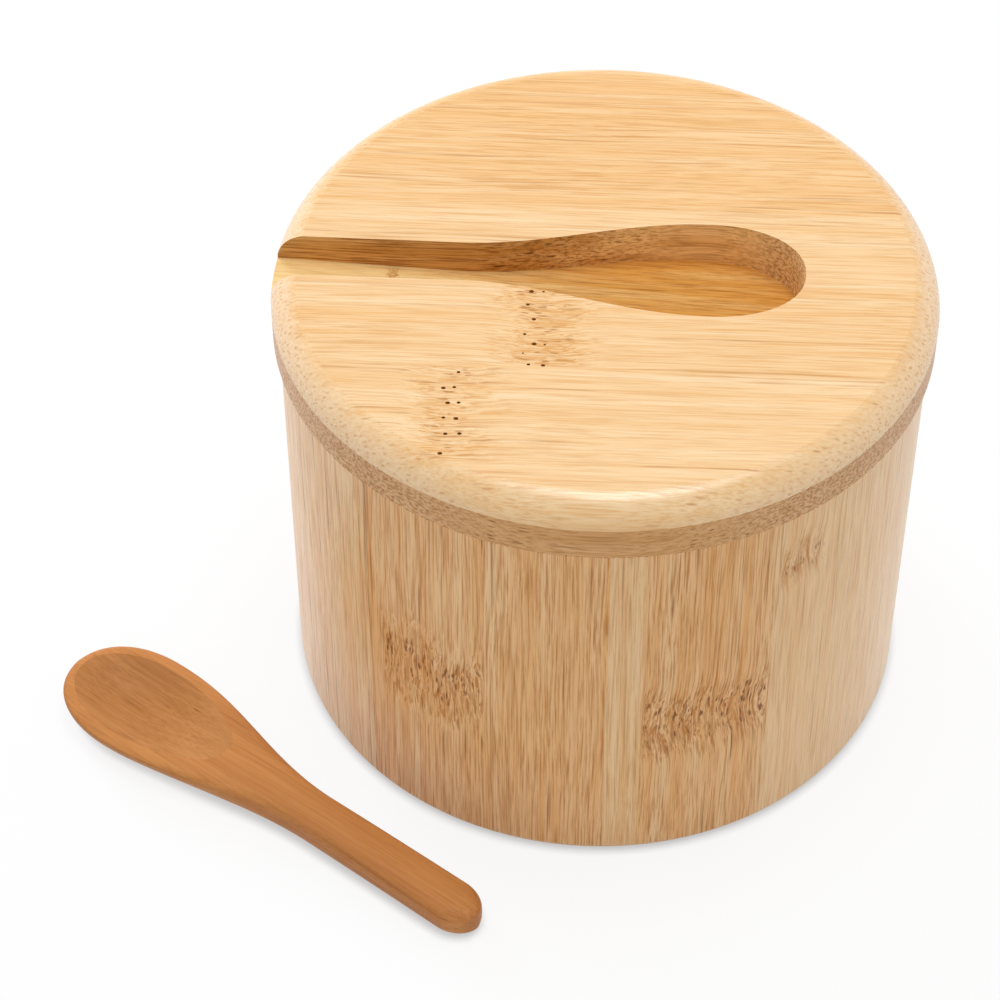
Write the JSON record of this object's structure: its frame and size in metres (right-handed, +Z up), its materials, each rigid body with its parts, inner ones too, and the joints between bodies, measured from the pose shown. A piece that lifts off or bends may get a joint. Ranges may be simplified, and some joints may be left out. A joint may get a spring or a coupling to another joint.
{
  "type": "salt box with swivel lid",
  "caption": "Round bamboo salt box with a lid that swivels aside on a hidden pin, magnets that hold it shut, and a spoon that is kept in a recess in the lid.",
  "frame": {"origin": "centre of the box's underside, on the surface it stands on", "axes": "+Z up, +X along the lid's recess from the spoon's handle to its bowl, +Y to the back where the pivot pin is"},
  "size_m": [0.1222, 0.1052, 0.0703],
  "materials": {
    "bamboo_upright": "sanded and oiled, upright grain",
    "bamboo_base": "sanded, flat grain",
    "bamboo_lid": "sanded and oiled, flat grain",
    "bamboo_dark": "carbonised, sanded",
    "steel": "ground",
    "nickel": "nickel plated"
  },
  "bodies": {
    "box": {"body_wall": "bamboo_upright", "base_disc": "bamboo_base", "pivot_pin": "steel", "body_magnet": "nickel"},
    "lid": {"lid": "bamboo_lid", "lid_magnet": "nickel"},
    "spoon": {"spoon": "bamboo_dark"}
  },
  "joints": [
    {"name": "lid_swivel", "type": "hinge", "parent": "box", "child": "lid", "pos_m": [0, 0.0397, 0.0615], "axis": [0, 0, 1], "range_deg": [-180, 180]},
    {"name": "spoon_lift", "type": "slide", "parent": "box", "child": "spoon", "axis": [0, 0, 1], "range_m": [0, 0.1]}
  ]
}
